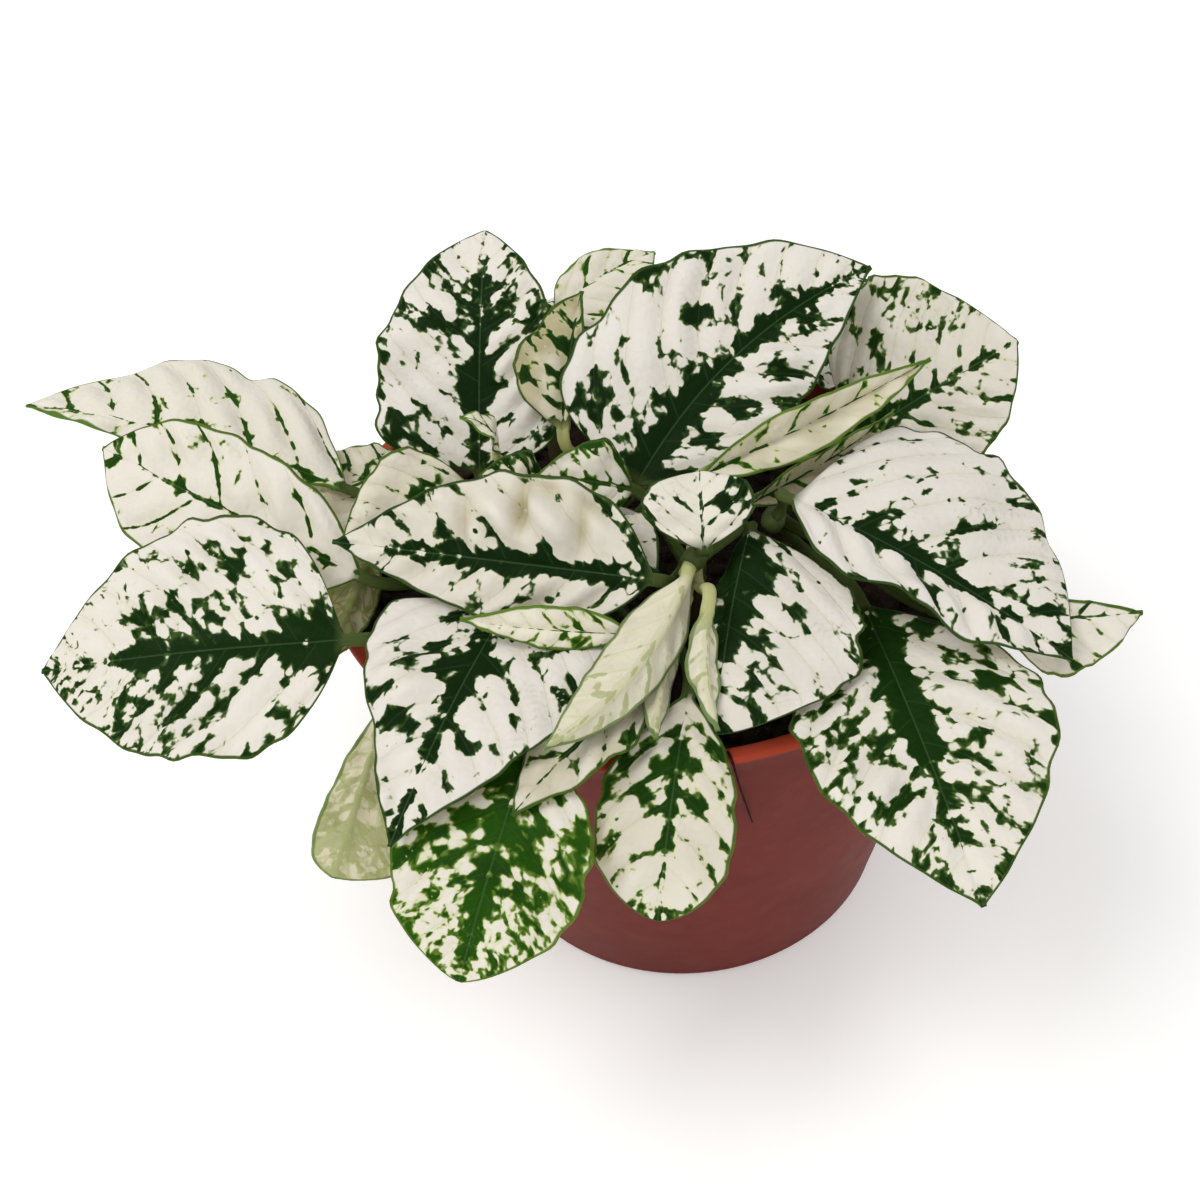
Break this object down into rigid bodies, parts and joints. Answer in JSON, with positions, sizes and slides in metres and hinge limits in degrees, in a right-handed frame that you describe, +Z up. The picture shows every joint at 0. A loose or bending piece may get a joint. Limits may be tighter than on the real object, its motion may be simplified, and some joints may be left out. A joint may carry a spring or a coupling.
{
  "type": "potted polka dot plant",
  "caption": "House plant with white-splashed green leaves on short stems, standing in soil in a round, tapered plastic nursery pot.",
  "frame": {"origin": "centre of the pot's flat underside", "axes": "+Z up along the pot's axis, and -Y towards the side that the picture shows, to which the plant leans"},
  "size_m": [0.1823, 0.1735, 0.1303],
  "materials": {
    "pot": "matte red-brown injection-moulded plastic",
    "soil": "dark, crumbly, moist potting soil",
    "stem": "green-brown, slightly glossy young stem",
    "leaf": "satin leaf, white with dark green splashes along its veins"
  },
  "bodies": {
    "root": {"pot": "pot", "soil": "soil", "stem_left": "stem", "stem_front_left": "stem", "stem_back_left": "stem", "stem_centre": "stem", "stem_back_right": "stem", "stem_right": "stem", "stem_rear_left": "stem", "stem_rear_right": "stem", "leaf_far_left": "leaf", "leaf_left_back": "leaf", "leaf_left_front": "leaf", "leaf_left_small": "leaf", "leaf_left_hanging": "leaf", "leaf_low_left": "leaf", "leaf_tall_left": "leaf", "leaf_cream_left": "leaf", "leaf_bud_left": "leaf", "leaf_curled_left": "leaf", "leaf_speckled": "leaf", "leaf_narrow_back": "leaf", "leaf_tall_right": "leaf", "leaf_far_back": "leaf", "leaf_folded_upper": "leaf", "leaf_folded_lower": "leaf", "leaf_right_back": "leaf", "leaf_right_small": "leaf", "leaf_right_front": "leaf", "leaf_front_right": "leaf", "leaf_centre_small": "leaf", "leaf_centre_big": "leaf", "leaf_centre_fold": "leaf", "leaf_young_left": "leaf", "leaf_young_middle": "leaf", "leaf_young_right": "leaf", "leaf_rolled_strip": "leaf", "leaf_front_left": "leaf", "leaf_green_front": "leaf", "leaf_small_front": "leaf", "leaf_grey_front": "leaf", "leaf_rear_far_left": "leaf", "leaf_rear_left": "leaf", "leaf_rear_middle": "leaf", "leaf_rear_right": "leaf", "leaf_rear_far_right": "leaf", "leaf_rear_upper": "leaf", "leaf_rear_inner": "leaf", "leaf_rear_inner_right": "leaf", "leaf_rear_centre": "leaf", "leaf_rear_corner": "leaf", "leaf_rear_upper_right": "leaf"}
  },
  "joints": []
}
